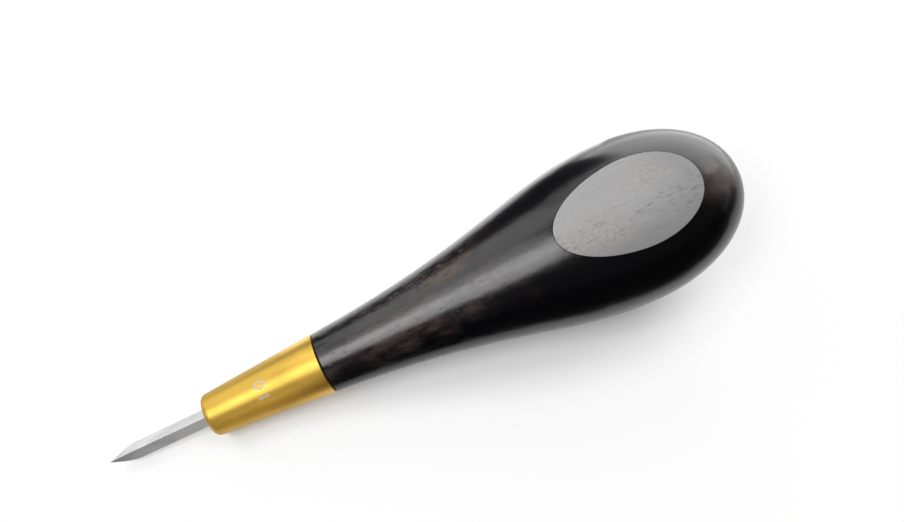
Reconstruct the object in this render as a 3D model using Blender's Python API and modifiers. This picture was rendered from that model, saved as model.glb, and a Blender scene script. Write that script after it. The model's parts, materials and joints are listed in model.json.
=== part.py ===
"""Stitching awl: an ebony handle with a brass ferrule and a fixed, diamond-section blade.

Units are metres and +Z is up. The awl lies on a bench at Z = 0 just as it comes to rest there,
on the nose of its ferrule and the front edge of its lower flat, with the tip towards -X.

All pieces are modelled round one tool axis, local Z of the empty "tool_axis", with local X as
the way up. A station is a distance along that axis, measured back from the ferrule's nose, so
the tip has a negative station. Local Z runs the other way, from the butt to the tip.
"""

import math

import bmesh
import bpy
from mathutils import Matrix, Vector
from mathutils.geometry import interpolate_bezier

MM = 0.001

# Lengths along the tool axis
HAFT_LENGTH = 86.0 * MM  # nose of the ferrule to the butt
BLADE_REACH = 16.5 * MM  # nose of the ferrule to the tip
FERRULE_LENGTH = 19.0 * MM
BUTT_LENGTH = 18.0 * MM  # widest place of the handle to the butt
LANCE_LENGTH = 5.2 * MM  # pointed end of the blade
TENON_LENGTH = 12.0 * MM  # spigot of the handle inside the ferrule
TANG_LENGTH = 40.0 * MM  # hidden end of the blade, from the nose
SHOULDER_LENGTH = 2.0 * MM  # where the diamond section turns into the square tang
ROOT_DEPTH = 1.2 * MM  # full blade section carried on inside the nose
BORE_SPARE = 2.0 * MM  # room in the bore past the end of the tang

# Diameters, widths and thicknesses
BULB_DIAMETER = 24.5 * MM
SEAM_DIAMETER = 9.3 * MM  # where the ferrule meets the wood
NOSE_DIAMETER = 6.5 * MM  # of the ferrule's cone, before its edge is rounded
FERRULE_WALL = 0.65 * MM  # round the bottom of its socket, where it is thinnest
BLADE_WIDTH = 2.72 * MM  # across the two cutting edges at the nose
BLADE_SHOULDER_WIDTH = 2.6 * MM  # where the point begins
BLADE_THICKNESS = 1.6 * MM  # from ridge to ridge at the nose
TANG_WIDTH = 2.3 * MM  # across the corners of the square tang
TANG_END_WIDTH = 1.3 * MM
EPOXY_WALL = 0.22 * MM  # beside the widest section of the blade

# The two ovals ground on the handle
FLAT_DEPTH = 1.85 * MM  # ground off at the widest place
FLAT_LEAN = math.radians(4.0)  # each flat closes on the axis towards the butt

# Edges and clearances
NOSE_ROUND = 1.0 * MM
SEAM_CHAMFER = 0.15 * MM  # on the wood's shoulder, beside the ferrule
MOUTH_CHAMFER = 0.4 * MM  # at the ferrule's open end
SEAM_GAP = 0.15 * MM  # glue line between ferrule and shoulder
GLUE_GAP = 0.1 * MM  # round the tenon and on both sides of the epoxy
TENON_END_GAP = 0.3 * MM  # tenon to the bottom of the ferrule
EPOXY_RECESS = 0.5 * MM  # epoxy stops short of the nose
DRILL_HALF_ANGLE = math.radians(59.0)

# How far the Bezier handles of each curved stretch reach, as shares of that stretch
NECK_REACH = 0.59
CROWN_REACH = 0.29
BUTT_REACH = 0.58
POINT_REACH = 0.45  # along the lance, from the tip
POINT_SPREAD = 0.56  # across its half width
LANCE_REACH = 0.33  # along the lance, from its shoulder

# Facets
TURN_STEPS = 64
BORE_STEPS = 48
NECK_STEPS = 18
BUTT_STEPS = 12
NOSE_STEPS = 6
LANCE_STEPS = 8

MERGE_DISTANCE = 0.001 * MM

# Places that follow from the sizes above
SEAM_RADIUS = SEAM_DIAMETER / 2
NOSE_RADIUS = NOSE_DIAMETER / 2
BULB_RADIUS = BULB_DIAMETER / 2
CONE_SLOPE = (SEAM_RADIUS - NOSE_RADIUS) / FERRULE_LENGTH
SHOULDER_STATION = FERRULE_LENGTH + SEAM_GAP
TENON_STATION = SHOULDER_STATION - TENON_LENGTH
SOCKET_STATION = TENON_STATION - TENON_END_GAP
SOCKET_RADIUS = NOSE_RADIUS + CONE_SLOPE * SOCKET_STATION - FERRULE_WALL
TENON_RADIUS = SOCKET_RADIUS - GLUE_GAP
BULB_STATION = HAFT_LENGTH - BUTT_LENGTH
EPOXY_RADIUS = BLADE_WIDTH / 2 + GLUE_GAP + EPOXY_WALL
BORE_RADIUS = EPOXY_RADIUS + GLUE_GAP  # through the nose and on into the handle
BORE_STATION = TANG_LENGTH + BORE_SPARE


def clear_scene():
    """Start from an empty file."""
    for scene_object in list(bpy.data.objects):
        bpy.data.objects.remove(scene_object)


def new_collection(name):
    collection = bpy.data.collections.new(name)
    bpy.context.scene.collection.children.link(collection)
    return collection


def principled(name, colour, roughness, metallic=0.0):
    """One material with a Principled BSDF."""
    material = bpy.data.materials.new(name)
    material.use_nodes = True
    shader = material.node_tree.nodes["Principled BSDF"]
    shader.inputs["Base Color"].default_value = (*colour, 1.0)
    shader.inputs["Roughness"].default_value = roughness
    shader.inputs["Metallic"].default_value = metallic
    material.diffuse_color = (*colour, 1.0)
    return material


def new_object(name, mesh, collection, axis, material=None):
    """Link a mesh as an object carried by the tool axis."""
    made = bpy.data.objects.new(name, mesh)
    collection.objects.link(made)
    made.parent = axis
    if material:
        mesh.materials.append(material)
    return made


def arc(centre, radius, start, end, steps):
    """Points of a circular arc as (radius, station), with angles counted from straight out."""
    angles = [start + (end - start) * i / steps for i in range(steps + 1)]
    return [
        (centre[0] + radius * math.cos(a), centre[1] - radius * math.sin(a)) for a in angles
    ]


def bezier(start, start_handle, end_handle, end, steps):
    """Points of one Bezier stretch as (radius, station)."""
    knots = [Vector((*point, 0.0)) for point in (start, start_handle, end_handle, end)]
    return [(point.x, point.y) for point in interpolate_bezier(*knots, steps + 1)]


def turned(name, outline, collection, axis, steps, material=None, closed=False):
    """Turn an outline of (radius, station) points, listed down its outer side, into a solid."""
    mesh = bpy.data.meshes.new(name)
    points = [(radius, 0.0, -station) for radius, station in outline]
    edges = [(i, i + 1) for i in range(len(points) - 1)]
    if closed:
        edges.append((len(points) - 1, 0))
    mesh.from_pydata(points, edges, [])
    made = new_object(name, mesh, collection, axis, material)
    made.rotation_euler.z = math.pi / steps  # a row of facets, not of corners, faces the bench
    screw = made.modifiers.new("turn", "SCREW")
    screw.axis = "Z"
    screw.angle = math.tau
    screw.steps = steps
    screw.render_steps = steps
    screw.use_merge_vertices = True
    screw.merge_threshold = MERGE_DISTANCE
    screw.use_smooth_shade = True
    return made


def cut(target, cutter):
    """Take the cutter away from the target."""
    cutter.hide_render = True
    cutter.display_type = "WIRE"
    difference = target.modifiers.new(f"cut_{cutter.name}", "BOOLEAN")
    difference.operation = "DIFFERENCE"
    difference.object = cutter


def drill_point(radius, station):
    """Station of the tip of a drilled hole that is full size down to the given station."""
    return station + radius / math.tan(DRILL_HALF_ANGLE)


def ferrule_outline():
    """Cone with a rounded nose, bored for the blade and counterbored for the tenon."""
    cone_angle = math.atan(CONE_SLOPE)
    # The rounding touches the nose face and the cone, so its centre follows from both.
    round_radius = NOSE_RADIUS + CONE_SLOPE * NOSE_ROUND - NOSE_ROUND / math.cos(cone_angle)
    nose_edge = arc((round_radius, NOSE_ROUND), NOSE_ROUND, math.pi / 2, cone_angle, NOSE_STEPS)
    return [
        (BORE_RADIUS, 0.0),
        *nose_edge,
        (SEAM_RADIUS, FERRULE_LENGTH),
        (SOCKET_RADIUS + MOUTH_CHAMFER, FERRULE_LENGTH),
        (SOCKET_RADIUS, FERRULE_LENGTH - MOUTH_CHAMFER),
        (SOCKET_RADIUS, SOCKET_STATION),
        (BORE_RADIUS, SOCKET_STATION),
    ]


def handle_outline():
    """Tang bore, tenon and shoulder, then the pear-shaped outside from the seam to the butt."""
    neck_length = BULB_STATION - SHOULDER_STATION
    neck_reach = NECK_REACH * neck_length
    neck = bezier(
        (SEAM_RADIUS, SHOULDER_STATION),
        (SEAM_RADIUS + CONE_SLOPE * neck_reach, SHOULDER_STATION + neck_reach),
        (BULB_RADIUS, BULB_STATION - CROWN_REACH * neck_length),
        (BULB_RADIUS, BULB_STATION),
        NECK_STEPS,
    )
    butt = bezier(
        (BULB_RADIUS, BULB_STATION),
        (BULB_RADIUS, BULB_STATION + BUTT_REACH * BUTT_LENGTH),
        (BULB_RADIUS * BUTT_REACH, HAFT_LENGTH),
        (0.0, HAFT_LENGTH),
        BUTT_STEPS,
    )
    shoulder_edge = (SEAM_RADIUS + CONE_SLOPE * SEAM_CHAMFER, SHOULDER_STATION + SEAM_CHAMFER)
    return [
        (0.0, drill_point(BORE_RADIUS, BORE_STATION)),
        (BORE_RADIUS, BORE_STATION),
        (BORE_RADIUS, TENON_STATION),
        (TENON_RADIUS, TENON_STATION),
        (TENON_RADIUS, SHOULDER_STATION),
        (SEAM_RADIUS - SEAM_CHAMFER, SHOULDER_STATION),
        shoulder_edge,
        *neck[1:],
        *butt[1:],
    ]


def epoxy_outline():
    """Plug of epoxy that fills the bore, from just inside the nose to the drill point."""
    return [
        (0.0, EPOXY_RECESS),
        (EPOXY_RADIUS, EPOXY_RECESS),
        (EPOXY_RADIUS, BORE_STATION),
        (0.0, drill_point(EPOXY_RADIUS, BORE_STATION)),
    ]


def blade_sections(clearance=0.0):
    """Diamond sections from the tip back, as (station, half width, half thickness)."""
    half_shoulder = BLADE_SHOULDER_WIDTH / 2
    # From the tip the edges run straight, then curve over into the sides of the blade.
    edge = bezier(
        (0.0, -BLADE_REACH),
        (POINT_SPREAD * half_shoulder, POINT_REACH * LANCE_LENGTH - BLADE_REACH),
        (half_shoulder, (1.0 - LANCE_REACH) * LANCE_LENGTH - BLADE_REACH),
        (half_shoulder, LANCE_LENGTH - BLADE_REACH),
        LANCE_STEPS,
    )
    edge += [(BLADE_WIDTH / 2, 0.0), (BLADE_WIDTH / 2, ROOT_DEPTH)]
    thickness_share = BLADE_THICKNESS / BLADE_WIDTH
    sections = [(station, half, half * thickness_share) for half, station in edge]
    sections += [
        (ROOT_DEPTH + SHOULDER_LENGTH, TANG_WIDTH / 2, TANG_WIDTH / 2),
        (TANG_LENGTH + clearance, TANG_END_WIDTH / 2, TANG_END_WIDTH / 2),
    ]
    return [(station, width + clearance, height + clearance) for station, width, height in sections]


def diamond_loft(name, sections, collection, axis, material=None):
    """Skin four-cornered sections into a closed solid; a section of no size makes a point."""
    form = bmesh.new()
    rings = []
    for station, width, height in sections:
        corners = ((height, 0.0), (0.0, width), (-height, 0.0), (0.0, -width))
        rings.append([form.verts.new((x, y, -station)) for x, y in corners])
    for front, back in zip(rings, rings[1:]):
        for i in range(4):
            j = (i + 1) % 4
            form.faces.new((front[i], back[i], back[j], front[j]))
    form.faces.new(rings[0])
    form.faces.new(reversed(rings[-1]))
    bmesh.ops.remove_doubles(form, verts=form.verts, dist=MERGE_DISTANCE)
    bmesh.ops.recalc_face_normals(form, faces=form.faces)
    mesh = bpy.data.meshes.new(name)
    form.to_mesh(mesh)
    form.free()
    return new_object(name, mesh, collection, axis, material)


def flat_cutter(name, side, collection, axis):
    """Block whose inner face is one flat; side is 1 for the upper flat and -1 for the lower."""
    size = 2 * BULB_DIAMETER
    bpy.ops.mesh.primitive_cube_add(size=size)
    block = bpy.context.object
    block.name = name
    for owner in list(block.users_collection):
        owner.objects.unlink(block)
    collection.objects.link(block)
    block.parent = axis
    normal = Vector((side * math.cos(FLAT_LEAN), 0.0, -math.sin(FLAT_LEAN)))
    on_flat = Vector((side * (BULB_RADIUS - FLAT_DEPTH), 0.0, -BULB_STATION))
    block.location = on_flat + normal * size / 2
    block.rotation_euler.y = side * FLAT_LEAN
    return block


def evaluated_points(objects):
    """World-space vertices of the finished solids."""
    bpy.context.view_layer.update()
    graph = bpy.context.evaluated_depsgraph_get()
    points = []
    for piece in objects:
        finished = piece.evaluated_get(graph)
        points += [finished.matrix_world @ vertex.co for vertex in finished.data.vertices]
    return points


def resting_pitch(points):
    """Angle by which the tip dips when the underside lies on a level bench.

    The bench touches the lower hull of the side view, along the edge under mid-haft.
    """
    hull = []
    for station, height in sorted((-point.z, point.x) for point in points):
        while len(hull) > 1:
            (s0, h0), (s1, h1) = hull[-2:]
            if (s1 - s0) * (height - h0) > (h1 - h0) * (station - s0):
                break
            hull.pop()
        hull.append((station, height))
    front, back = next(
        (a, b) for a, b in zip(hull, hull[1:]) if a[0] <= HAFT_LENGTH / 2 <= b[0]
    )
    return math.atan2(front[1] - back[1], back[0] - front[0])


def lay_on_bench(axis, pieces):
    """Turn and move the tool axis so that the awl rests on Z = 0, centred over the origin."""
    points = evaluated_points(pieces)
    axis.rotation_euler.y = -(math.pi / 2 + resting_pitch(points))
    turn = Matrix.Rotation(axis.rotation_euler.y, 3, "Y")
    laid = [turn @ point for point in points]
    low = [min(point[i] for point in laid) for i in range(3)]
    high = [max(point[i] for point in laid) for i in range(3)]
    axis.location = (-(low[0] + high[0]) / 2, -(low[1] + high[1]) / 2, -low[2])


def main():
    clear_scene()
    parts = new_collection("stitching_awl")
    cutters = new_collection("cutters")
    axis = bpy.data.objects.new("tool_axis", None)
    parts.objects.link(axis)

    ebony = principled("ebony", (0.022, 0.017, 0.016), 0.28)
    brass = principled("brass", (0.78, 0.53, 0.14), 0.25, metallic=1.0)
    steel = principled("blade_steel", (0.60, 0.60, 0.61), 0.32, metallic=1.0)
    resin = principled("epoxy", (0.10, 0.075, 0.05), 0.35)

    handle = turned("handle", handle_outline(), parts, axis, TURN_STEPS, ebony)
    for side, name in ((1, "upper_flat_cutter"), (-1, "lower_flat_cutter")):
        cut(handle, flat_cutter(name, side, cutters, axis))

    ferrule = turned("ferrule", ferrule_outline(), parts, axis, TURN_STEPS, brass, closed=True)

    blade = diamond_loft("blade", blade_sections(), parts, axis, steel)

    epoxy = turned("tang_epoxy", epoxy_outline(), parts, axis, BORE_STEPS, resin)
    cut(epoxy, diamond_loft("tang_room", blade_sections(GLUE_GAP), cutters, axis))

    lay_on_bench(axis, [handle, ferrule, blade, epoxy])


main()
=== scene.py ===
"""Dress a stitching awl: polished ebony handle, turned brass ferrule, ground blade and its resin bed.

Lengths are metres. Shapes are worked out in the tool frame: X runs back along the tool's axis from
the nose of the ferrule (a station is a distance along it), Y runs across, and Z up through the
upper flat. The awl lies on the bench at Z = 0 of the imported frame.
"""

import json
import math
from typing import NamedTuple

import bmesh
import bpy
import numpy as np
from bpy.props import FloatProperty, FloatVectorProperty, IntProperty, PointerProperty
from mathutils import Matrix, Vector
from mathutils.geometry import delaunay_2d_cdt, interpolate_bezier


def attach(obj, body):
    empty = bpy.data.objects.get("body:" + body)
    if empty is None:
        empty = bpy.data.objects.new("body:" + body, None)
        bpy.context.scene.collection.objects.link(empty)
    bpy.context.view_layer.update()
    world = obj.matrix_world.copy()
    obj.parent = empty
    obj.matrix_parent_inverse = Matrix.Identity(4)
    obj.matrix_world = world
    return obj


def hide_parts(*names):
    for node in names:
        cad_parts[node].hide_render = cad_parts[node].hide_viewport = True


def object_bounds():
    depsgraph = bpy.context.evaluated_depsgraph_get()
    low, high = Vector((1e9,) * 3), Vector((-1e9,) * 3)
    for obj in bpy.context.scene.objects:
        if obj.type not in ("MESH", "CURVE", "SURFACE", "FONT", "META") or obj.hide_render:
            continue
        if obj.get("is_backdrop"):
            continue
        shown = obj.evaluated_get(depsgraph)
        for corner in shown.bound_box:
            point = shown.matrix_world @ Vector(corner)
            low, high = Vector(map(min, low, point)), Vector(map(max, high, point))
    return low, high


bl_info = {
    "name": "Stitching Awl",
    "version": (1, 0, 0),
    "blender": (4, 5, 0),
    "location": "3D View > Sidebar > Awl",
    "description": "Builds the finished pieces of a stitching awl and a small photo stage for it",
    "category": "Add Mesh",
}

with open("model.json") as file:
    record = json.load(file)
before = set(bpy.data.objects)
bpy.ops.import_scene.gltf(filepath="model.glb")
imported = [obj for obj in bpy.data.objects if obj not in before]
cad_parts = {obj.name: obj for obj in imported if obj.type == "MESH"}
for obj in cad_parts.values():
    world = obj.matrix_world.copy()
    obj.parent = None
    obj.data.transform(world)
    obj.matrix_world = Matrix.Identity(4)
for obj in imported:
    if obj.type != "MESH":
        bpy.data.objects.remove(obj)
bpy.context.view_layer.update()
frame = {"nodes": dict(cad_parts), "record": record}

MM = 0.001
BODY = "root"
PICTURE = (904, 522)  # width and height of the photograph, in pixels
SENSOR_WIDTH = 36.0  # of the camera, in millimetres


# The tool frame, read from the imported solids

def corners(node):
    """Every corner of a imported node, one row each."""
    return np.array([vertex.co for vertex in frame["nodes"][node].data.vertices])


def tool_frame():
    """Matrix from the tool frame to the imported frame."""
    blade, handle = corners("blade"), corners("handle")
    tip = blade[blade[:, 0].argmin()]
    butt = handle[np.linalg.norm(handle - tip, axis=1).argmax()]
    back = Vector(butt - tip).normalized()
    across = Vector((0.0, 1.0, 0.0))
    nose = float(min((corners("ferrule") - tip) @ np.array(back)))
    matrix = Matrix((back, across, back.cross(across))).transposed().to_4x4()
    matrix.translation = Vector(tip) + nose * back
    return matrix


TOOL = tool_frame()


def turned_corners(node):
    """Station and radius of every corner of a node."""
    places = (corners(node) - np.array(TOOL.translation)) @ np.array(TOOL.to_3x3())
    return places[:, 0], np.hypot(places[:, 1], places[:, 2])


def flat_line(mount_name):
    """Height of a flat over the axis at station 0, and how much it rises for each metre back."""
    mount = next(m for m in frame["record"]["mounts"] if m["name"] == mount_name)
    place = TOOL.inverted() @ Vector(mount["pos_m"])
    normal = TOOL.to_3x3().inverted() @ Vector(mount["axis"])
    rise = -normal.x / normal.z
    return abs(place.z - rise * place.x), rise


HANDLE_STATIONS, HANDLE_RADII = turned_corners("handle")
FERRULE_STATIONS, FERRULE_RADII = turned_corners("ferrule")
BLADE_STATIONS, BLADE_RADII = turned_corners("blade")
FLAT_HEIGHT, FLAT_RISE = flat_line("upper_flat")


# Settings

def metres(name, description, default):
    """A length."""
    return FloatProperty(
        name=name, description=description, default=default, min=0.0, unit="LENGTH", precision=5
    )


def share(name, description, default):
    """A share of something else, from 0 to 1."""
    return FloatProperty(
        name=name, description=description, default=default, min=0.0, max=1.0, subtype="FACTOR"
    )


def angle(name, description, degrees):
    """An angle, given in degrees."""
    return FloatProperty(
        name=name, description=description, default=math.radians(degrees), subtype="ANGLE"
    )


def colour(name, description, default):
    """A colour, as linear red, green and blue."""
    return FloatVectorProperty(
        name=name, description=description, default=default, size=3, min=0.0, max=1.0, subtype="COLOR"
    )


class HandleSettings(bpy.types.PropertyGroup):
    """Sizes and colours of the handle."""

    haft: metres("Haft", "Nose of the ferrule to the butt", float(HANDLE_STATIONS.max()))
    bulb_radius: metres("Bulb radius", "Radius at the widest place", float(HANDLE_RADII.max()))
    bulb_station: metres(
        "Bulb station", "Nose to the widest place", float(HANDLE_STATIONS[HANDLE_RADII.argmax()])
    )
    seam_gap: metres("Seam gap", "Glue line between ferrule and wood", 0.15 * MM)
    seam_chamfer: metres("Seam chamfer", "Broken edge of the wood beside the ferrule", 0.15 * MM)
    tenon_length: metres("Tenon length", "Spigot inside the ferrule", 12.0 * MM)
    tenon_radius: metres("Tenon radius", "Radius of that spigot", 3.0 * MM)
    bore_radius: metres("Bore radius", "Radius of the hole for the tang", float(FERRULE_RADII.min()))
    bore_depth: metres("Bore depth", "Nose to the end of that hole", 42.0 * MM)
    neck_reach: share("Neck reach", "How far the neck keeps the ferrule's taper", 0.59)
    crown_reach: share("Crown reach", "How long the bulb stays near its full width", 0.29)
    butt_reach: share("Butt reach", "How full the round of the butt is", 0.58)
    rim_round: metres("Rim round", "How much the rim of each flat is eased", 0.05 * MM)
    mesh_size: metres("Mesh size", "Spacing of the rings of the mesh", 0.7 * MM)
    mesh_sides: IntProperty(name="Sides", description="Points round the handle", default=96, min=8)
    heartwood: colour("Heartwood", "Near-black ground of the ebony", (0.0022, 0.0022, 0.0030))
    streak: colour("Streak", "Reddish brown streaks in the ebony", (0.070, 0.046, 0.047))
    ember: colour("Ember", "Dark red of the butt", (0.060, 0.030, 0.034))
    fleck: colour("Fleck", "Tan flecks among the streaks", (0.085, 0.045, 0.016))
    # The sanded grey is partly the wood's own sanded colour and partly painted sheen.
    sanded: colour("Sanded", "Dusty grey of the sanded flats", (0.352, 0.345, 0.349))
    # Painted shade: the flats are painted darker along their front.
    flat_painted_shade: colour("Dusk", "Darker grey along the front of the flats", (0.185, 0.182, 0.182))
    sand: colour("Sand", "Yellowish specks on the sanded flats", (0.37, 0.365, 0.31))
    pore: colour("Pore", "Open pores on the sanded flats", (0.035, 0.030, 0.028))


class FerruleSettings(bpy.types.PropertyGroup):
    """Sizes and colours of the ferrule."""

    length: metres("Length", "Nose to the seam", float(FERRULE_STATIONS.max()))
    seam_radius: metres("Seam radius", "Radius at the seam", float(FERRULE_RADII.max()))
    nose_radius: metres("Nose radius", "Radius of the cone at the nose", 3.25 * MM)
    nose_round: metres("Nose round", "Rounding of the nose", 1.0 * MM)
    edge_round: metres("Edge break", "Broken edges at the seam and the hole", 0.08 * MM)
    bore_radius: metres("Bore radius", "Radius of the hole for the blade", float(FERRULE_RADII.min()))
    socket_radius: metres("Socket radius", "Radius of the socket for the tenon", 3.105 * MM)
    socket_station: metres("Socket bottom", "Nose to the bottom of that socket", 6.85 * MM)
    mouth_chamfer: metres("Mouth chamfer", "Chamfer at the open end", 0.4 * MM)
    mesh_sides: IntProperty(name="Sides", description="Points round the ferrule", default=128, min=8)
    brass: colour("Brass", "Colour of the metal", (0.585, 0.380, 0.071))
    # Painted light, partly hand wear: the front of the ferrule by the seam is painted lighter.
    rubbed_and_painted_light: colour("Rubbed", "Colour where the hand keeps it bright, at the seam", (0.77, 0.496, 0.091))
    mark: colour("Mark", "Colour of the etched size mark", (0.50, 0.43, 0.41))
    mark_station: metres("Mark station", "Nose to the middle of the mark", 9.6 * MM)


class BladeSettings(bpy.types.PropertyGroup):
    """Sizes and colours of the blade."""

    reach: metres("Reach", "Nose to the tip", float(-BLADE_STATIONS.min()))
    half_width: metres("Half width", "Axis to a cutting edge at the nose", float(BLADE_RADII.max()))
    shoulder_half_width: metres("Shoulder half width", "The same where the point begins", 1.3 * MM)
    half_thickness: metres("Half thickness", "Axis to a ridge at the nose", 0.8 * MM)
    lance: metres("Lance", "Length of the point", 5.2 * MM)
    root: metres("Root", "Full section carried on inside the nose", 1.2 * MM)
    shoulder: metres("Shoulder", "Where the diamond turns into the tang", 2.0 * MM)
    tang_length: metres("Tang", "Nose to the end of the tang", 40.0 * MM)
    tang_half_width: metres("Tang half width", "Axis to a corner of the tang", 1.15 * MM)
    tang_end_half_width: metres("Tang end", "The same at its end", 0.65 * MM)
    land: metres("Land", "Width of the stoned edges and ridges", 0.02 * MM)
    mesh_steps: IntProperty(name="Steps", description="Sections along the point", default=28, min=4)
    steel: colour("Steel", "Colour of the ground steel", (0.49, 0.49, 0.495))


class BeddingSettings(bpy.types.PropertyGroup):
    """Colour of the resin round the tang."""

    resin: colour("Resin", "Colour of the cured resin", (0.10, 0.075, 0.05))


class StageSettings(bpy.types.PropertyGroup):
    """Floor, lights and camera."""

    floor: colour("Floor", "Colour of the bench", (0.92, 0.92, 0.92))
    floor_radius: metres("Floor radius", "Size of the bench", 3.0)
    azimuth: angle("Azimuth", "Turn of the camera round the awl", -24.0)
    elevation: angle("Elevation", "Height of the camera over the horizon", 76.75)
    distance: metres("Distance", "Camera to the middle of the haft", 200.0 * MM)
    lens: FloatProperty(
        name="Lens", description="Focal length", default=54.06, subtype="DISTANCE_CAMERA"
    )
    aim_station: metres("Aim station", "Nose to the point of the axis that sets the framing", 43.0 * MM)
    aim_pixel: FloatVectorProperty(
        name="Aim pixel", description="Where that point lies in the picture", default=(470.6, 294.4),
        size=2
    )
    lift: share("Lift", "How far the bench beside the awl is lifted towards white", 0.11)
    shade: share("Shade", "Width of the shaded bench as a share of the awl's girth there", 0.82)
    fill: FloatProperty(name="Fill", description="Strength of the surroundings", default=0.08, min=0.0)


# Outlines and meshes

WELD = 0.0002 * MM  # points closer than this become one


def arc(station, radius, size, start, end, steps):
    """Points of a circular arc as (station, radius), with angles counted from straight out."""
    angles = np.linspace(start, end, steps + 1)
    return [(station - size * math.sin(a), radius + size * math.cos(a)) for a in angles]


def bezier(start, start_handle, end_handle, end, steps):
    """Points of one Bezier stretch as (station, radius)."""
    knots = [Vector((*point, 0.0)) for point in (start, start_handle, end_handle, end)]
    return [(point.x, point.y) for point in interpolate_bezier(*knots, steps + 1)]


def bridge(form, ring, after):
    """Join two rings that have the same number of points."""
    for i in range(len(ring)):
        j = (i + 1) % len(ring)
        form.faces.new((ring[i], ring[j], after[j], after[i]))


def revolve(form, outline, sides, closed=False):
    """Turn an outline of (station, radius) points round the axis."""
    turns = [math.tau * i / sides for i in range(sides)]
    rings = []
    for station, radius in outline:
        rings.append([
            form.verts.new((station, radius * math.sin(turn), radius * math.cos(turn)))
            for turn in turns
        ])
    for ring, after in zip(rings, rings[1:]):
        bridge(form, ring, after)
    if closed:
        bridge(form, rings[-1], rings[0])


def mesh_of(form, name, finishes):
    """Turn a form into a mesh with these finishes."""
    mesh = bpy.data.meshes.new(name)
    form.to_mesh(mesh)
    form.free()
    for finish in finishes:
        mesh.materials.append(finish)
    return mesh


def placed(name, data):
    """A new object, linked into the scene."""
    made = bpy.data.objects.new(name, data)
    bpy.context.scene.collection.objects.link(made)
    return made


def seated(form, name, node, finishes, sharp_from):
    """Make a form, drawn in the tool frame, the piece that stands for a node.

    Edges that turn by more than sharp_from degrees stay crisp.
    """
    bmesh.ops.remove_doubles(form, verts=form.verts, dist=WELD)
    bmesh.ops.dissolve_degenerate(form, edges=form.edges, dist=WELD)
    bmesh.ops.recalc_face_normals(form, faces=form.faces)
    form.transform(TOOL)
    mesh = mesh_of(form, name, finishes)
    mesh.shade_smooth()
    mesh.set_sharp_from_angle(angle=math.radians(sharp_from))
    piece = placed(name, mesh)
    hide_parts(node)
    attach(piece, BODY)
    return piece


# Nodes of the finishes

class Wire:
    """An output of a node. Arithmetic on it adds Math nodes."""

    def __init__(self, finish, socket):
        self.finish = finish
        self.socket = socket

    def output(self, name):
        """Another output of the same node."""
        return Wire(self.finish, self.socket.node.outputs[name])

    def __add__(self, other):
        return self.finish.maths("ADD", self, other)

    __radd__ = __add__

    def __sub__(self, other):
        return self.finish.maths("SUBTRACT", self, other)

    def __rsub__(self, other):
        return self.finish.maths("SUBTRACT", other, self)

    def __mul__(self, other):
        return self.finish.maths("MULTIPLY", self, other)

    __rmul__ = __mul__

    def __truediv__(self, other):
        return self.finish.maths("DIVIDE", self, other)

    def __rtruediv__(self, other):
        return self.finish.maths("DIVIDE", other, self)

    def __pow__(self, other):
        return self.finish.maths("POWER", self, other)

    def __rpow__(self, other):
        return self.finish.maths("POWER", other, self)

    def __lt__(self, other):
        return self.finish.maths("LESS_THAN", self, other)

    def __gt__(self, other):
        return self.finish.maths("GREATER_THAN", self, other)

    def __abs__(self):
        return self.finish.maths("ABSOLUTE", self)


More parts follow.
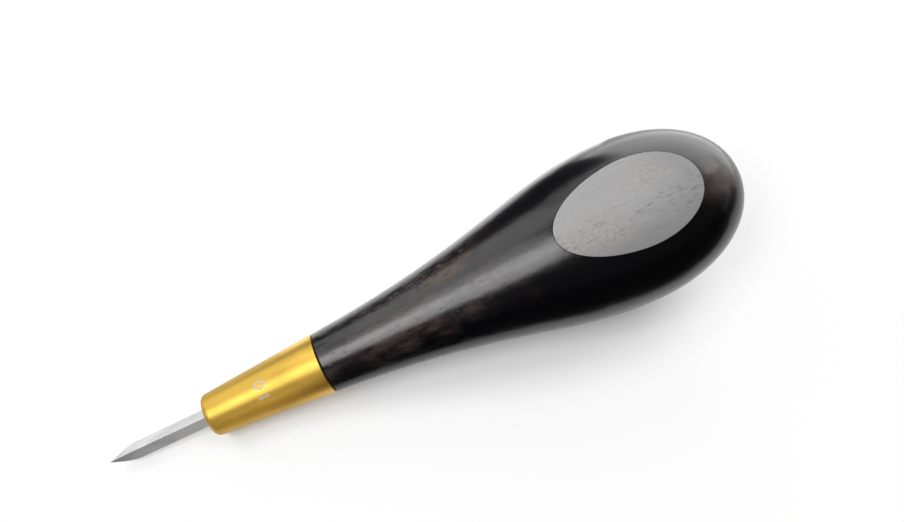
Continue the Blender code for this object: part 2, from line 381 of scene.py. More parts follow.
class Finish:
    """A material that is put together node by node."""

    def __init__(self, name):
        self.material = bpy.data.materials.new(name)
        self.material.use_nodes = True
        self.tree = self.material.node_tree
        self.tree.nodes.clear()

    def node(self, kind, settings, inputs, output=0):
        """Add a node: its settings first, then the values or wires of its inputs."""
        made = self.tree.nodes.new(kind)
        for key, value in settings.items():
            setattr(made, key, value)
        for key, value in inputs.items():
            if isinstance(value, Wire):
                self.tree.links.new(value.socket, made.inputs[key])
            else:
                made.inputs[key].default_value = value
        return Wire(self, made.outputs[output]) if len(made.outputs) else None

    def maths(self, operation, *values):
        """Add a Math node."""
        return self.node("ShaderNodeMath", {"operation": operation}, dict(enumerate(values)))

    def row(self):
        """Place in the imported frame, in metres."""
        return self.node("ShaderNodeTexCoord", {}, {}, output="Object")

    def place(self):
        """Place on the piece in the tool frame, in millimetres."""
        return self.node("ShaderNodeMapping", {"vector_type": "TEXTURE"}, {
            "Vector": self.row(), "Location": TOOL.translation, "Rotation": TOOL.to_euler(),
            "Scale": (MM, MM, MM),
        })

    def axes(self, place):
        """The three parts of a place: along, across and up."""
        parts = self.node("ShaderNodeSeparateXYZ", {}, {"Vector": place})
        return [parts.output(axis) for axis in "XYZ"]

    def stretched(self, place, along, across):
        """A place scaled by one factor along the tool and by another across it."""
        factors = (along, across, across)
        return self.node("ShaderNodeVectorMath", {"operation": "MULTIPLY"}, {0: place, 1: factors})

    def noise(self, place, along, across, detail=3.0, roughness=0.5, distortion=0.0):
        """Cloudy value, about 0.25 to 0.75, with so many patches to each unit along and across."""
        return self.node("ShaderNodeTexNoise", {}, {
            "Vector": self.stretched(place, along, across), "Scale": 1.0, "Detail": detail,
            "Roughness": roughness, "Distortion": distortion,
        })

    def cells(self, place, along, across):
        """Distance to the nearest of scattered points, so many to each unit along and across."""
        return self.node("ShaderNodeTexVoronoi", {"feature": "F1"}, {
            "Vector": self.stretched(place, along, across), "Scale": 1.0,
        })

    def ramp(self, value, start, full):
        """0 at the start, 1 where it is full, and a smooth change between them, up or down."""
        return self.node("ShaderNodeMapRange", {"interpolation_type": "SMOOTHSTEP"}, {
            "Value": value, "From Min": start, "From Max": full,
        })

    def mix(self, first, second, factor):
        """Blend of two colours."""
        return self.node("ShaderNodeMix", {"data_type": "RGBA"}, {
            "Factor": factor, "A": opaque(first), "B": opaque(second),
        }, output="Result")

    def bump(self, height, depth, normal=None):
        """Normal of a surface whose relief has this depth where the height runs from 0 to 1."""
        inputs = {"Height": height, "Distance": depth, "Strength": 1.0}
        if normal:
            inputs["Normal"] = normal
        return self.node("ShaderNodeBump", {}, inputs)

    def surfaced(self, shader):
        """The material, with this shader as its surface."""
        self.node("ShaderNodeOutputMaterial", {}, {"Surface": shader})
        return self.material

    def shade(self, inputs):
        """The material, with a Principled shader that has these inputs."""
        return self.surfaced(self.node("ShaderNodeBsdfPrincipled", {}, inputs))


def opaque(value):
    """A colour with its alpha; a wire stays as it is."""
    return value if isinstance(value, Wire) else (*value, 1.0)


def darker(value, part):
    """A colour at part of its brightness."""
    return tuple(part * channel for channel in value)


# Finishes of the pieces: stations, places across and sizes are in millimetres

class Patch(NamedTuple):
    """Oval patch of the wood."""

    station: float
    across: float
    half_length: float
    half_width: float


TAN_PATCHES = (Patch(40.8, 3.0, 3.2, 0.9), Patch(44.2, 4.2, 1.8, 0.5))
RED_PATCHES = (Patch(81.5, -1.8, 4.0, 2.6),)
SANDY_PATCHES = (Patch(63.0, -1.8, 5.5, 2.8), Patch(72.0, 3.0, 3.6, 2.2))
PATCH_EDGE = (1.35, 0.40)  # where a patch starts and where it is full, as shares of its size

# Where a change in a finish starts, and where it is full
NECK = (56.0, 38.0)  # stations of the browner neck
SEAM_SIDE = (20.0, 34.0)  # stations of the neck's streaks, which are faint beside the ferrule
BUTT = (72.0, 86.0)  # stations of the browner butt
BROWN_EDGE = (-6.0, -1.2)  # places across of the streaks
BROWN_CREST = (-0.5, 2.5)  # places across where they grow faint again
HAIR_EDGE = (1.0, 3.5)  # places across of the black hairlines
FLAT_END = (70.0, 79.0)  # stations of the darker end of the flats
PAINTED_SHADE_EDGE = (-7.5, 2.0)  # places across where the painted shade along the front of the flats gives way to the pale grey
OPEN_EDGE = (2.8, 0.6)  # distances from the middle of the open-grained band
RUBBED_PAINTED_LIGHT_END = (12.0, 19.5)  # stations of the lighter brass by the seam: partly hand wear, partly painted light
RUBBED_PAINTED_LIGHT_EDGE = (2.2, 0.8)  # places across of it, on the front side

OPEN_BAND = -1.6  # place across of the open-grained band of the flats

MARK_RADIUS = 3.9  # of the ferrule where it is etched
DIAMOND_HALF_LENGTH = 1.15
DIAMOND_HALF_WIDTH = 0.8
DIAMOND_ASIDE = 0.35  # place round the ferrule, from straight up
DIAMOND_HOLLOW = 0.62  # share of the diamond that stays bare inside its line
BAR_HALF_LENGTH = 0.85
BAR_HALF_WIDTH = 0.16
BAR_ASIDE = -1.55


def wood_grain(finish):
    """Place, its station, its place across, and the fibre of the ebony, which runs along the tool."""
    place = finish.place()
    station, across, _ = finish.axes(place)
    fibre = finish.noise(place, 0.10, 3.2, detail=5.0, roughness=0.65)
    return place, station, across, fibre


def patches(finish, station, across, ragged, spots):
    """1 inside oval patches of the wood, 0 outside and a ragged change between them."""
    inside = 0.0
    for spot in spots:
        along = (station - spot.station) / spot.half_length
        aside = (across - spot.across) / spot.half_width
        away = (along ** 2.0 + aside ** 2.0) ** 0.5
        inside = inside + finish.ramp(away + ragged, *PATCH_EDGE)
    return inside


def polished_ebony(settings):
    """Waxed, polished ebony, browner along the neck and at the very butt."""
    finish = Finish("polished_ebony")
    place, station, across, fibre = wood_grain(finish)
    pores = finish.ramp(finish.cells(place, 0.45, 3.4), 0.24, 0.10)
    broad = finish.noise(place, 0.06, 0.20, distortion=0.6)
    mottle = finish.noise(place, 0.24, 0.62, detail=4.0, roughness=0.6, distortion=0.4)
    wander = mottle - 0.5
    ragged = across + 4.0 * wander
    neck = finish.ramp(station, *NECK)

    zone = finish.ramp(ragged, *BROWN_EDGE) * (1.0 - 0.6 * finish.ramp(ragged, *BROWN_CREST))
    brown = zone * finish.ramp(broad, 0.22, 0.52) * (0.25 + 0.75 * finish.ramp(mottle, 0.34, 0.68))
    front = 0.3 + 0.7 * finish.ramp(station, *SEAM_SIDE)
    strength = 0.03 + 0.97 * neck * front + 0.6 * finish.ramp(station, *BUTT)
    streaked = finish.mix(settings.heartwood, settings.streak, brown * strength)
    red = patches(finish, station, across, 2.0 * wander, RED_PATCHES)
    reddened = finish.mix(streaked, settings.ember, 0.6 * red)
    tan = patches(finish, station, across, 2.0 * wander, TAN_PATCHES)
    flecks = finish.ramp(mottle, 0.60, 0.70) * finish.ramp(broad, 0.46, 0.62) * neck
    flecked = finish.mix(reddened, settings.fleck, 0.3 * flecks + 0.4 * tan)

    threads = finish.noise(place, 0.045, 1.3, detail=2.0, roughness=0.6)
    hairs = finish.ramp(abs(threads - 0.5), 0.05, 0.0) * finish.ramp(mottle, 0.36, 0.56)
    hairs = hairs * neck * finish.ramp(ragged, *HAIR_EDGE)
    lined = finish.mix(flecked, settings.heartwood, 0.6 * finish.ramp(fibre, 0.54, 0.66))
    haired = finish.mix(lined, settings.heartwood, hairs)

    smears = finish.noise(place, 0.10, 0.16, detail=4.0)
    roughness = 0.12 + 0.08 * smears + 0.06 * fibre + 0.06 * mottle + 0.02 * pores
    grain = (0.4 * fibre - 0.4 * pores * (1.0 - hairs)) * (0.3 + 0.7 * neck)
    relief = finish.bump(grain + 0.2 * mottle - 0.7 * hairs, depth=0.022 * MM)
    ripple = finish.noise(place, 0.22, 0.34, detail=2.0)
    return finish.shade({
        "Base Color": haired, "Roughness": roughness, "Specular IOR Level": 0.32,
        "Normal": finish.bump(ripple, depth=0.05 * MM, normal=relief),
    })


def sanded_ebony(settings):
    """Ebony sanded matte on the flats: sandy patches, and open pores along a band of the grain."""
    finish = Finish("sanded_ebony")
    place, station, across, fibre = wood_grain(finish)
    cloud = finish.noise(place, 0.35, 0.6, detail=4.0)
    speckle = finish.noise(place, 2.4, 3.4, roughness=0.7)
    scattered = finish.cells(place, 0.6, 3.0)
    chance = finish.node("ShaderNodeSeparateColor", {}, {"Color": scattered.output("Color")})
    pores = finish.ramp(scattered, 0.44, 0.14) * finish.ramp(chance, 0.25, 0.65)
    ragged = 1.6 * (cloud - 0.5)
    sandy = patches(finish, station, across, ragged, SANDY_PATCHES)
    open_grain = finish.ramp(abs(across - OPEN_BAND) + 2.0 * ragged, *OPEN_EDGE)
    far_end = finish.ramp(station + 3.0 * ragged, *FLAT_END)

    # Painted shade: each flat is painted darker towards its front edge, and a little darker towards its
    # far end.
    pale_share = finish.ramp(across + ragged, *PAINTED_SHADE_EDGE) * (1.0 - 0.4 * far_end)
    shaded_flat = finish.mix(settings.flat_painted_shade, settings.sanded, pale_share)
    lined = finish.mix(shaded_flat, settings.pore, 0.10 * finish.ramp(fibre, 0.50, 0.68))
    pale_specks = sandy * (0.15 + 0.35 * finish.ramp(speckle, 0.46, 0.62))
    sanded = finish.mix(lined, settings.sand, pale_specks)
    dark_specks = (0.04 + 0.12 * sandy) * finish.ramp(speckle, 0.52, 0.38)
    specked = finish.mix(sanded, settings.pore, dark_specks)
    dark_pores = pores * (0.05 + 0.6 * open_grain * cloud + 0.12 * far_end)
    relief = 0.4 * fibre + 0.5 * speckle - pores
    return finish.shade({
        "Base Color": finish.mix(specked, settings.pore, dark_pores),
        "Roughness": 0.50 + 0.12 * speckle,
        "Normal": finish.bump(relief, depth=0.010 * MM),
    })


def etched_mark(finish, along, around):
    """1 on the etched diamond and bar, for a distance along from their middle and a place round."""
    diamond = along / DIAMOND_HALF_LENGTH + abs(around - DIAMOND_ASIDE) / DIAMOND_HALF_WIDTH
    line = (diamond < 1.0) * (diamond > DIAMOND_HOLLOW)
    bar = (along < BAR_HALF_LENGTH) * (abs(around - BAR_ASIDE) < BAR_HALF_WIDTH)
    return finish.maths("MAXIMUM", line, bar)


def turned_brass(settings):
    """Satin brass with fine turning lines, lighter on the front by the seam (partly hand wear, partly
    painted light), and an etched mark.
    """
    finish = Finish("turned_brass")
    place = finish.place()
    station, across, up = finish.axes(place)
    lines = finish.noise(place, 14.0, 0.02, detail=4.0, roughness=0.7)
    tarnish = finish.noise(place, 0.25, 0.4, detail=4.0)
    along = abs(station - settings.mark_station / MM)
    mark = etched_mark(finish, along, MARK_RADIUS * finish.maths("ARCTAN2", across, up))
    dull = darker(settings.brass, 0.92)
    worn = finish.mix(settings.brass, dull, finish.ramp(tarnish, 0.4, 0.7))
    # Painted light, partly hand wear: the front of the ferrule by the seam is lighter.
    rubbed_painted_light_mask = finish.ramp(station, *RUBBED_PAINTED_LIGHT_END) * finish.ramp(across, *RUBBED_PAINTED_LIGHT_EDGE)
    rubbed_painted_light_brass = finish.mix(worn, settings.rubbed_and_painted_light, rubbed_painted_light_mask)
    return finish.shade({
        "Base Color": finish.mix(rubbed_painted_light_brass, settings.mark, mark),
        "Metallic": 1.0 - mark,
        "Roughness": 0.43 + 0.08 * lines + 0.05 * tarnish + 0.10 * mark,
        "Anisotropic": 0.6,
        "Normal": finish.bump(lines - mark, depth=0.003 * MM),
    })


def ground_steel(settings):
    """Ground tool steel with fine lines along the facets."""
    finish = Finish("ground_steel")
    place = finish.place()
    lines = finish.noise(place, 0.5, 22.0, roughness=0.6)
    cloud = finish.noise(place, 0.3, 0.8)
    dull = darker(settings.steel, 0.85)
    return finish.shade({
        "Base Color": finish.mix(settings.steel, dull, finish.ramp(cloud, 0.4, 0.7)),
        "Metallic": 1.0,
        "Roughness": 0.36 + 0.12 * lines,
        "Normal": finish.bump(lines, depth=0.0008 * MM),
    })


def cured_resin(settings):
    """Dark resin, pitted by a few trapped bubbles."""
    finish = Finish("cured_resin")
    place = finish.place()
    cloud = finish.noise(place, 0.9, 0.9)
    outside_bubbles = finish.ramp(finish.cells(place, 2.2, 2.2), 0.12, 0.2)
    return finish.shade({
        "Base Color": finish.mix(settings.resin, darker(settings.resin, 0.5), cloud),
        "Roughness": 0.22 + 0.2 * cloud,
        "Normal": finish.bump(outside_bubbles, depth=0.03 * MM),
    })


# Pieces

def handle_outline(handle, ferrule):
    """Outside of the handle from the seam to the butt, as arrays of station and radius."""
    steps = 400  # points of each curve, far finer than the mesh
    seam = ferrule.length + handle.seam_gap
    slope = (ferrule.seam_radius - ferrule.nose_radius) / ferrule.length
    neck_length = handle.bulb_station - seam
    neck_reach = handle.neck_reach * neck_length
    butt_length = handle.haft - handle.bulb_station
    neck = bezier(
        (seam, ferrule.seam_radius),
        (seam + neck_reach, ferrule.seam_radius + slope * neck_reach),
        (handle.bulb_station - handle.crown_reach * neck_length, handle.bulb_radius),
        (handle.bulb_station, handle.bulb_radius),
        steps,
    )
    butt = bezier(
        (handle.bulb_station, handle.bulb_radius),
        (handle.bulb_station + handle.butt_reach * butt_length, handle.bulb_radius),
        (handle.haft, handle.butt_reach * handle.bulb_radius),
        (handle.haft, 0.0),
        steps,
    )
    edge = (seam + handle.seam_chamfer, ferrule.seam_radius + slope * handle.seam_chamfer)
    outline = [edge] + [point for point in neck + butt[1:] if point[0] > edge[0]]
    return np.array(outline).T


class Skin:
    """Outside of the handle, unrolled: along is a run down the outline and turn an angle from up."""

    def __init__(self, handle, ferrule):
        self.stations, self.radii = handle_outline(handle, ferrule)
        steps = np.hypot(np.diff(self.stations), np.diff(self.radii))
        self.runs = np.concatenate([[0.0], np.cumsum(steps)])
        self.rim_round = handle.rim_round
        over = np.flatnonzero(self.radii > FLAT_HEIGHT + FLAT_RISE * self.stations)
        front, back = self.runs[over[0]], self.runs[over[-1]]
        self.flat_middle = (front + back) / 2
        self.flat_half = (back - front) / 2

    def section(self, along):
        """Station, turned radius and height of the flat at a run."""
        station = np.interp(along, self.runs, self.stations)
        return station, np.interp(along, self.runs, self.radii), FLAT_HEIGHT + FLAT_RISE * station

    def rim(self, count):
        """Points round the rim of the flat as (along, turn)."""
        lap = math.tau * np.arange(count) / count
        along = self.flat_middle - self.flat_half * np.cos(lap)
        _, radius, height = self.section(along)
        turn = np.arccos(np.minimum(height / radius, 1.0))
        return np.stack([along, np.copysign(turn, np.sin(lap))], axis=1)

    def points(self, along, turn):
        """Places on the upper half: turned wood, ground down to the flat, with an eased rim."""
        station, radius, height = self.section(along)
        nearly_level = 1.5  # radians from up, just short of a quarter turn
        ground = height / np.cos(np.clip(turn, -nearly_level, nearly_level))
        # Where the two nearly meet, both give way a little
        overlap = np.maximum(self.rim_round - np.abs(radius - ground), 0.0)
        reach = np.minimum(radius, ground) - overlap ** 2 / (4 * self.rim_round)
        reach = np.maximum(reach, 0.0)
        return np.stack([station, reach * np.sin(turn), reach * np.cos(turn)], axis=1)


# Loops of the mesh round each flat, as shares of its rim
RIM_LAPS = (
    0.15, 0.3, 0.45, 0.6, 0.72, 0.82, 0.89, 0.93, 0.96, 0.978, 0.988, 0.994,
    1.0, 1.006, 1.012, 1.022, 1.04, 1.07, 1.12, 1.18,
)
RIM_POINTS = 150
RIM_MARGIN = 1.24  # no plain rings inside this share of the rim
FILL_HULL = 0  # triangles over the whole hull of the points
SAME_SPOT = 1e-7  # unrolled points closer than this, in millimetres, are one


def handle_half(form, skin, side, handle):
    """Upper or lower half of the outside; faces inside the rim take the second finish."""
    # Plain rings, left out near the flat
    ring_count = round(skin.runs[-1] / handle.mesh_size)
    along, turn = np.meshgrid(
        np.linspace(0.0, skin.runs[-1], ring_count + 1),
        np.linspace(-math.pi / 2, math.pi / 2, handle.mesh_sides // 2 + 1),
    )
    grid = np.stack([along.ravel(), turn.ravel()], axis=1)
    rim = skin.rim(RIM_POINTS)
    widest = np.abs(rim[:, 1]).max()
    centre = np.array([skin.flat_middle, 0.0])
    reach = np.hypot(*((grid - centre) / (skin.flat_half, widest)).T)
    grid = grid[reach > RIM_MARGIN]

    # Loops that follow the rim of the flat, inside and outside of it
    laps = [centre + lap * (rim - centre) for lap in RIM_LAPS]
    spots = np.concatenate([[centre], *laps, grid])
    shares = np.concatenate([[0.0], np.repeat(RIM_LAPS, RIM_POINTS), np.full(len(grid), np.inf)])

    # Triangles between all of them on the unrolled skin, with each loop kept whole
    loops = 1 + np.arange(len(RIM_LAPS) * RIM_POINTS).reshape(len(RIM_LAPS), RIM_POINTS)
    edges = np.stack([loops, np.roll(loops, -1, axis=1)], axis=2).reshape(-1, 2).tolist()
    unrolled = [Vector(spot) for spot in spots * (1.0, handle.bulb_radius) / MM]
    _, _, faces, sources, *_ = delaunay_2d_cdt(unrolled, edges, [], FILL_HULL, SAME_SPOT)
    picks = [source[0] for source in sources]
    places = skin.points(*spots[picks].T) * (1.0, 1.0, side)
    verts = [form.verts.new(place) for place in places]
    for face in faces:
        made = form.faces.new([verts[i] for i in face])
        made.material_index = int(max(shares[picks[i]] for i in face) <= 1.0)


DRILL_POINT = 0.6  # length of the drill's point as a share of its radius


class AWL_OT_handle(bpy.types.Operator):
    """Turn the pear-shaped handle and grind its two flats"""

    bl_idname = "awl.handle"
    bl_label = "Handle"

    def execute(self, context):
        handle, ferrule = context.scene.awl_handle, context.scene.awl_ferrule
        skin = Skin(handle, ferrule)
        form = bmesh.new()
        for side in (1.0, -1.0):
            handle_half(form, skin, side, handle)
        seam = ferrule.length + handle.seam_gap
        tenon_end = seam - handle.tenon_length
        revolve(form, [
            (skin.stations[0], skin.radii[0]),
            (seam, ferrule.seam_radius - handle.seam_chamfer),
            (seam, handle.tenon_radius),
            (tenon_end, handle.tenon_radius),
            (tenon_end, handle.bore_radius),
            (handle.bore_depth, handle.bore_radius),
            (handle.bore_depth + DRILL_POINT * handle.bore_radius, 0.0),
        ], handle.mesh_sides)
        finishes = (polished_ebony(handle), sanded_ebony(handle))
        seated(form, "ebony_handle", "handle", finishes, sharp_from=30.0)
        return {"FINISHED"}


NOSE_STEPS = 14  # steps of the mesh over the rounded nose
EDGE_STEPS = 4  # and over the broken edge at the seam


class AWL_OT_ferrule(bpy.types.Operator):
    """Turn the tapered ferrule with its rounded nose"""

    bl_idname = "awl.ferrule"
    bl_label = "Ferrule"

    def execute(self, context):
        ferrule = context.scene.awl_ferrule
        slope = (ferrule.seam_radius - ferrule.nose_radius) / ferrule.length
        lean = math.atan(slope)
        size, edge = ferrule.nose_round, ferrule.edge_round
        nose_centre = ferrule.nose_radius + slope * size - size / math.cos(lean)
        edge_station, edge_radius = ferrule.length - edge, ferrule.seam_radius - edge
        form = bmesh.new()
        revolve(form, [
            (edge, ferrule.bore_radius),
            (0.0, ferrule.bore_radius + edge),
            *arc(size, nose_centre, size, math.pi / 2, lean, NOSE_STEPS),
            *arc(edge_station, edge_radius, edge, 0.0, -math.pi / 2, EDGE_STEPS),
            (ferrule.length, ferrule.socket_radius + ferrule.mouth_chamfer),
            (ferrule.length - ferrule.mouth_chamfer, ferrule.socket_radius),
            (ferrule.socket_station, ferrule.socket_radius),
            (ferrule.socket_station, ferrule.bore_radius),
        ], ferrule.mesh_sides, closed=True)
        finishes = [turned_brass(ferrule)]
        piece = seated(form, "brass_ferrule", "ferrule", finishes, sharp_from=30.0)
        # A texture space that is thin across draws the gloss out along the ferrule, as turning lines do
        piece.data.use_auto_texspace = False
        piece.data.texspace_size = (1.0, 0.1 * MM, 1.0)
        return {"FINISHED"}


TIP_PULL = (0.45, 0.56)  # how the edge leaves the tip, as shares of the lance and its half width
SHOULDER_PULL = 0.67  # where the edge starts to turn into the shoulder, as a share of the lance
LAND_LIMIT = 0.4  # a land takes no more than this share of the half thickness
SECTION_CORNERS = 8  # of the blade: four points, each stoned off


def blade_sections(blade):
    """Sections from the tip back as (station, half width, half thickness)."""
    shoulder, reach, lance = blade.shoulder_half_width, blade.reach, blade.lance
    edge = bezier(
        (-reach, 0.0),
        (TIP_PULL[0] * lance - reach, TIP_PULL[1] * shoulder),
        (SHOULDER_PULL * lance - reach, shoulder),
        (lance - reach, shoulder),
        blade.mesh_steps,
    )
    edge += [(0.0, blade.half_width), (blade.root, blade.half_width)]
    thickness = blade.half_thickness / blade.half_width
    sections = [(station, half, half * thickness) for station, half in edge]
    sections.append((blade.root + blade.shoulder, blade.tang_half_width, blade.tang_half_width))
    sections.append((blade.tang_length, blade.tang_end_half_width, blade.tang_end_half_width))
    return sections


def section_corners(half_width, half_thickness, land):
    """Corners of a diamond whose points are stoned off by a narrow land."""
    if half_width <= 0.0:
        return [(0.0, 0.0)] * SECTION_CORNERS
    cut = min(land, LAND_LIMIT * half_thickness) / 2
    taper = half_thickness / half_width
    quarter = [(cut, half_thickness - cut * taper), (half_width - cut / taper, cut)]
    right = quarter + [(y, -z) for y, z in reversed(quarter)]
    return right + [(-y, -z) for y, z in right]


class AWL_OT_blade(bpy.types.Operator):
    """Grind the diamond blade with its lance point and tang"""

    bl_idname = "awl.blade"
    bl_label = "Blade"

    def execute(self, context):
        blade = context.scene.awl_blade
        form = bmesh.new()
        rings = []
        for station, half_width, half_thickness in blade_sections(blade):
            outline = section_corners(half_width, half_thickness, blade.land)
            rings.append([form.verts.new((station, y, z)) for y, z in outline])
        for ring, after in zip(rings, rings[1:]):
            bridge(form, ring, after)
        form.faces.new(rings[-1])
        seated(form, "steel_blade", "blade", [ground_steel(blade)], sharp_from=15.0)
        return {"FINISHED"}


class AWL_OT_bedding(bpy.types.Operator):
    """Give the resin round the tang its finish"""

    bl_idname = "awl.bedding"
    bl_label = "Resin bedding"

    def execute(self, context):
        bedding = frame["nodes"]["tang_epoxy"]
        bedding.data.materials.clear()
        bedding.data.materials.append(cured_resin(context.scene.awl_bedding))
        return {"FINISHED"}


# Stage

WHITE = (1.0, 1.0, 1.0)

# Band round the awl where the bench's painted white lift leaves the cast shadow showing: the awl's half
# widths, and places along the imported frame
BLADE_GIRTH = 2.0 * MM
FERRULE_GIRTH = 4.2 * MM
BULB_GIRTH = 12.2 * MM
NOSE_SWELL = (-38.0 * MM, -31.0 * MM)
NECK_SWELL = (-30.0 * MM, 30.0 * MM)
SHADE_MIDDLE = -4.0 * MM
SHADE_HALF_LENGTH = 44.0 * MM
BUTT_LIGHT = (29.0 * MM, 48.0 * MM)
BUTT_LIFT = 0.62  # how much further painted light lifts the bench under the butt, where it paints out most of the shadow
NEAR_SHARE = 0.75  # share of the shade that ends close to the awl
FAR_REACH = 6.0  # where the rest ends, in half widths of the awl


def bench_lift(finish, stage, row):
    """How far the bench is lifted towards white by painted light: little beside the awl, where the cast
    shadow shows, and all the way far out.
    """
    along, across, _ = finish.axes(row)
    girth = BLADE_GIRTH + (FERRULE_GIRTH - BLADE_GIRTH) * finish.ramp(along, *NOSE_SWELL)
    girth = girth + (BULB_GIRTH - FERRULE_GIRTH) * finish.ramp(along, *NECK_SWELL)
    past = finish.maths("MAXIMUM", abs(along - SHADE_MIDDLE) - SHADE_HALF_LENGTH, 0.0)
    reach = (past ** 2.0 + across ** 2.0) ** 0.5 / girth
    near = finish.ramp(reach, 1.0, 1.0 + stage.shade)
    far = finish.ramp(reach, 1.0, FAR_REACH)
    bare = NEAR_SHARE * near + (1.0 - NEAR_SHARE) * far
    under = stage.lift + BUTT_LIFT * finish.ramp(along, *BUTT_LIGHT)
    return under + (1.0 - under) * bare


def matt_bench(stage):
    """Pale, faintly clouded bench paper, lifted towards white where it is looked at."""
    finish = Finish("matt_bench")
    row = finish.row()
    cloud = finish.noise(row, 9.0, 9.0)
    paper = finish.node("ShaderNodeBsdfPrincipled", {}, {
        "Base Color": finish.mix(stage.floor, darker(stage.floor, 0.985), cloud),
        "Roughness": 1.0,
        "Specular IOR Level": 0.0,
    })
    white = finish.node("ShaderNodeEmission", {}, {"Color": opaque(WHITE), "Strength": 1.0})
    rays = finish.node("ShaderNodeLightPath", {}, {})
    mirrored = finish.maths("MAXIMUM", rays.output("Is Glossy Ray"), rays.output("Is Transmission Ray"))
    seen = finish.maths("MAXIMUM", rays.output("Is Camera Ray"), mirrored)
    lift = bench_lift(finish, stage, row) * seen
    return finish.surfaced(finish.node("ShaderNodeMixShader", {}, {0: lift, 1: paper, 2: white}))


def lay_bench(stage):
    """Lay the bench under the awl."""
    lowest = min(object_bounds()[0].z, 0.0)
    form = bmesh.new()
    bmesh.ops.create_circle(form, cap_ends=True, radius=stage.floor_radius, segments=96)
    bench = placed("bench", mesh_of(form, "bench", [matt_bench(stage)]))
    bench.location.z = lowest
    bench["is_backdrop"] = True


def direction(stage, bearing, height):
    """Direction at a bearing, in degrees clockwise from the top of the picture, and a height."""
    turn = math.radians(bearing) - stage.azimuth
    rise = math.radians(height)
    level = math.cos(rise)
    return Vector((level * math.sin(turn), level * math.cos(turn), math.sin(rise)))


class SoftBox(NamedTuple):
    """Square-cornered soft light that faces a point of the tool's axis."""

    name: str
    bearing: float  # degrees clockwise from the top of the picture
    height: float  # degrees over the horizon
    distance: float
    width: float
    depth: float
    brightness: float
    aim: float = 43.0 * MM  # station that it faces
    lean: float = 0.0  # degrees that it leans back from facing it

    def hang(self, stage):
        """Hang it over the bench, out of the camera's sight."""
        lamp = bpy.data.lights.new(self.name, "AREA")
        lamp.shape = "RECTANGLE"
        lamp.size = self.width
        lamp.size_y = self.depth
        lamp.energy = self.brightness * math.pi * self.width * self.depth
        made = placed(self.name, lamp)
        away = direction(stage, self.bearing, self.height)
        made.location = TOOL @ Vector((self.aim, 0.0, 0.0)) + self.distance * away
        leaning = direction(stage, self.bearing, self.height - self.lean)
        made.rotation_euler = leaning.to_track_quat("Z", "Y").to_euler()
        made.visible_camera = False


SOFT_BOXES = (
    SoftBox("overhead_box", bearing=-105.0, height=60.0, distance=0.5,
            width=0.14, depth=0.19, brightness=12.0),
    SoftBox("edge_panel", bearing=-134.0, height=57.0, distance=0.24,
            width=0.067, depth=0.082, brightness=9.5),
    SoftBox("corner_panel", bearing=-82.0, height=50.0, distance=0.5,
            width=0.13, depth=0.13, brightness=5.0),
    SoftBox("left_panel", bearing=-57.0, height=28.0, distance=0.6,
            width=0.30, depth=0.43, brightness=3.2),
    SoftBox("upper_panel", bearing=-28.0, height=28.0, distance=0.15,
            width=0.078, depth=0.107, brightness=2.0, aim=66.0 * MM),
    SoftBox("back_panel", bearing=23.0, height=17.0, distance=0.5,
            width=0.66, depth=0.28, brightness=3.4),
    SoftBox("rim_strip", bearing=25.0, height=12.0, distance=0.055,
            width=0.096, depth=0.036, brightness=1.2, aim=70.0 * MM),
    SoftBox("sweep_panel", bearing=12.0, height=-0.5, distance=0.0675,
            width=0.096, depth=0.0729, brightness=2.0, aim=70.0 * MM, lean=70.0),
    SoftBox("bench_strip", bearing=-24.0, height=-23.5, distance=0.0218,
            width=0.061, depth=0.022, brightness=1.2, aim=43.4 * MM, lean=66.5),
    SoftBox("butt_card", bearing=73.0, height=12.0, distance=0.25,
            width=0.07, depth=0.12, brightness=1.1, aim=70.0 * MM),
)


def flag_card(tone):
    """Card of a flag, from black velvet to white."""
    finish = Finish("flag_card")
    return finish.surfaced(finish.node("ShaderNodeBsdfDiffuse", {}, {"Color": opaque(tone)}))


class Flag(NamedTuple):
    """Card that stands beside the awl and shows in its polish only. Its sizes are millimetres."""

    name: str
    start: tuple  # along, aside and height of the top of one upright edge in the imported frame
    end: tuple  # the same of the other upright edge
    tone: tuple = (0.01, 0.01, 0.01)
    overhang: float = 0.0  # how much further along the top of the second edge lies
    depth: float = math.inf  # how far it reaches down from its top, at most to the bench

    def stand(self):
        """Stand it on the bench, where it casts no shadow and sheds no light."""
        (start, start_aside, start_top), (end, end_aside, end_top) = self.start, self.end
        spots = (
            (start, start_aside, max(start_top - self.depth, 0.0)),
            (end, end_aside, max(end_top - self.depth, 0.0)),
            (end + self.overhang, end_aside, end_top),
            (start, start_aside, start_top),
        )
        form = bmesh.new()
        form.faces.new([form.verts.new(MM * Vector(spot)) for spot in spots])
        made = placed(self.name, mesh_of(form, self.name, [flag_card(self.tone)]))
        made.visible_camera = False
        made.visible_diffuse = False
        made.visible_shadow = False
        made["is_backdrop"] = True


FLAGS = (
    Flag("front_flag", (-24.0, -30.0, 27.0), (85.0, -30.0, 27.0)),
    Flag("neck_flag", (-20.0, -17.0, 16.0), (24.0, -27.5, 24.0)),
    Flag("back_flag", (-30.0, 34.0, 12.0), (13.0, 34.0, 27.0)),
    Flag("bulb_flag", (13.0, 34.0, 27.0), (30.0, 34.0, 24.0), overhang=8.0),
    Flag("butt_flag", (90.0, -35.0, 17.0), (90.0, -8.0, 17.0)),
    Flag("ferrule_strip", (-50.0, 12.0, 12.0), (-18.5, 12.0, 17.8), depth=2.1),
    Flag("ferrule_card", (-40.0, -15.5, 13.0), (-20.0, -15.5, 13.0), tone=(0.54, 0.45, 0.36)),
    Flag("tall_card", (-38.0, -16.0, 26.0), (-21.5, -16.0, 26.0), tone=(0.98, 0.92, 0.84)),
    Flag("blade_card", (-62.0, -16.0, 26.0), (-38.0, -16.0, 26.0), tone=(0.31, 0.31, 0.31)),
)


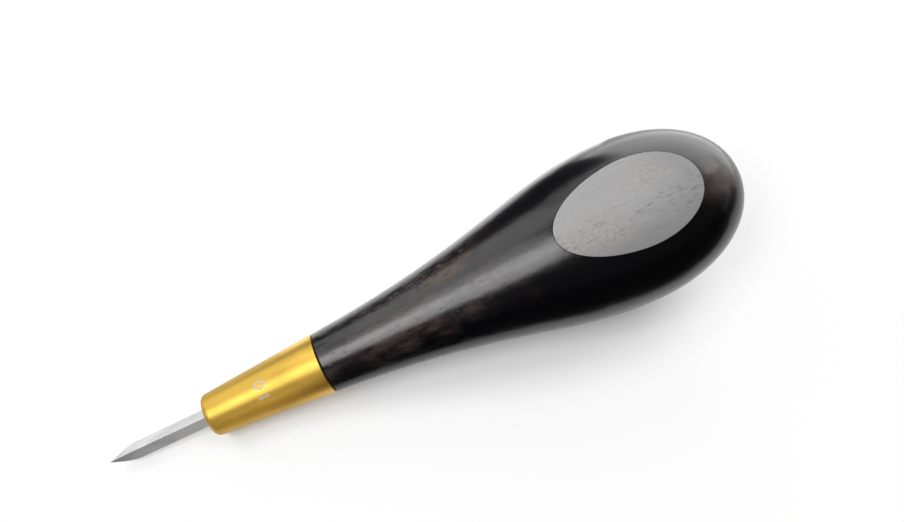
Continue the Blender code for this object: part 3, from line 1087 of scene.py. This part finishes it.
def set_surroundings(stage):
    """Even, white surroundings that fill the shadows."""
    world = bpy.data.worlds.new("surroundings")
    world.use_nodes = True
    background = world.node_tree.nodes["Background"]
    background.inputs["Strength"].default_value = stage.fill
    background.inputs["Color"].default_value = opaque(WHITE)
    bpy.context.scene.world = world


def set_camera(stage):
    """Stand the camera where the aimed-at point of the axis falls on its pixel."""
    lens = bpy.data.cameras.new("camera")
    lens.lens = stage.lens
    lens.sensor_width = SENSOR_WIDTH
    lens.clip_start = 0.01
    camera = placed("camera", lens)
    back = -direction(stage, 0.0, -math.degrees(stage.elevation))
    right = Vector((0.0, 0.0, 1.0)).cross(back).normalized()
    up = back.cross(right)
    width, height = PICTURE
    pixel = stage.distance * SENSOR_WIDTH / stage.lens / width
    aside = (stage.aim_pixel[0] - width / 2) * pixel
    below = (stage.aim_pixel[1] - height / 2) * pixel
    aim = TOOL @ Vector((stage.aim_station, 0.0, 0.0))
    camera.matrix_world = Matrix((right, up, back)).transposed().to_4x4()
    camera.location = aim + stage.distance * back - aside * right + below * up
    bpy.context.scene.camera = camera


class AWL_OT_stage(bpy.types.Operator):
    """Set the bench, the lights and the camera"""

    bl_idname = "awl.stage"
    bl_label = "Stage"

    def execute(self, context):
        stage = context.scene.awl_stage
        lay_bench(stage)
        for box in SOFT_BOXES:
            box.hang(stage)
        for flag in FLAGS:
            flag.stand()
        set_surroundings(stage)
        set_camera(stage)
        context.scene.view_settings.view_transform = "Standard"
        return {"FINISHED"}


class AWL_PT_panel(bpy.types.Panel):
    """Buttons and settings of the awl"""

    bl_idname = "AWL_PT_panel"
    bl_label = "Stitching Awl"
    bl_space_type = "VIEW_3D"
    bl_region_type = "UI"
    bl_category = "Awl"

    def draw(self, context):
        for operator, group in STEPS:
            box = self.layout.box()
            box.operator(operator.bl_idname)
            settings = getattr(context.scene, group)
            for name in settings.__annotations__:
                box.prop(settings, name)


GROUPS = {
    "awl_handle": HandleSettings,
    "awl_ferrule": FerruleSettings,
    "awl_blade": BladeSettings,
    "awl_bedding": BeddingSettings,
    "awl_stage": StageSettings,
}
STEPS = (
    (AWL_OT_handle, "awl_handle"),
    (AWL_OT_ferrule, "awl_ferrule"),
    (AWL_OT_blade, "awl_blade"),
    (AWL_OT_bedding, "awl_bedding"),
    (AWL_OT_stage, "awl_stage"),
)
CLASSES = (*GROUPS.values(), *(operator for operator, _ in STEPS), AWL_PT_panel)


def register():
    """Add the classes, and the settings of each scene."""
    for made in CLASSES:
        bpy.utils.register_class(made)
    for name, group in GROUPS.items():
        setattr(bpy.types.Scene, name, PointerProperty(type=group))


def unregister():
    """Take them away again."""
    for name in GROUPS:
        delattr(bpy.types.Scene, name)
    for made in reversed(CLASSES):
        bpy.utils.unregister_class(made)


def main():
    """Build the awl on its stage."""
    register()
    bpy.ops.awl.handle()
    bpy.ops.awl.ferrule()
    bpy.ops.awl.blade()
    bpy.ops.awl.bedding()
    bpy.ops.awl.stage()


if __name__ == "__main__":
    main()
